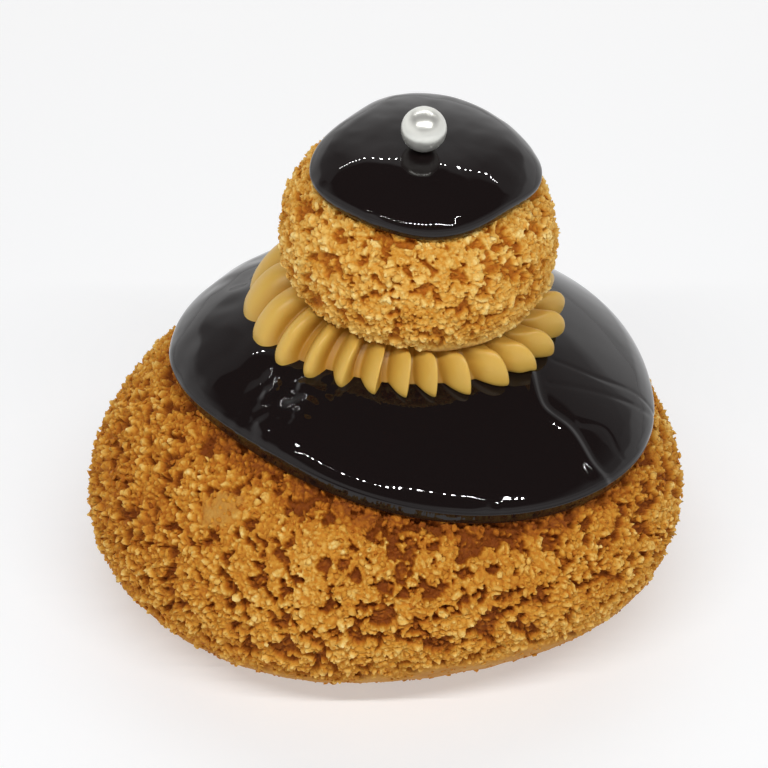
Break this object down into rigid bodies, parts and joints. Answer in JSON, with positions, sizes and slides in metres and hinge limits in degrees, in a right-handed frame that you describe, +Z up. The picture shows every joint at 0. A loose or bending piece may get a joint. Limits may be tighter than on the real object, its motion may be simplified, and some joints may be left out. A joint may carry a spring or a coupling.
{
  "type": "choux pastry",
  "caption": "Religieuse choux pastry: a small craquelin puff stacked on a large one, each under a dark chocolate glaze disc, with a piped cream ruff between and a silver sugar pearl on top.",
  "frame": {"origin": "middle of the pastry's outline, on the surface that it rests on", "axes": "+Z up, -Y towards the side with the lowest edge of the glaze, +X to the side towards which the head leans"},
  "size_m": [0.0737, 0.0703, 0.0671],
  "materials": {
    "crust": "dry, golden brown crumbs baked over choux, with darker toasted crevices",
    "glaze": "glossy, almost black chocolate glaze with a rounded edge",
    "cream": "satin, coffee coloured piped cream",
    "silver": "silver coating on a sugar pearl, mirror-like with fine dents"
  },
  "bodies": {
    "root": {"base_puff": "crust", "base_glaze": "glaze", "cream_ruff": "cream", "head_puff": "crust", "head_glaze": "glaze", "silver_pearl": "silver"}
  },
  "joints": []
}
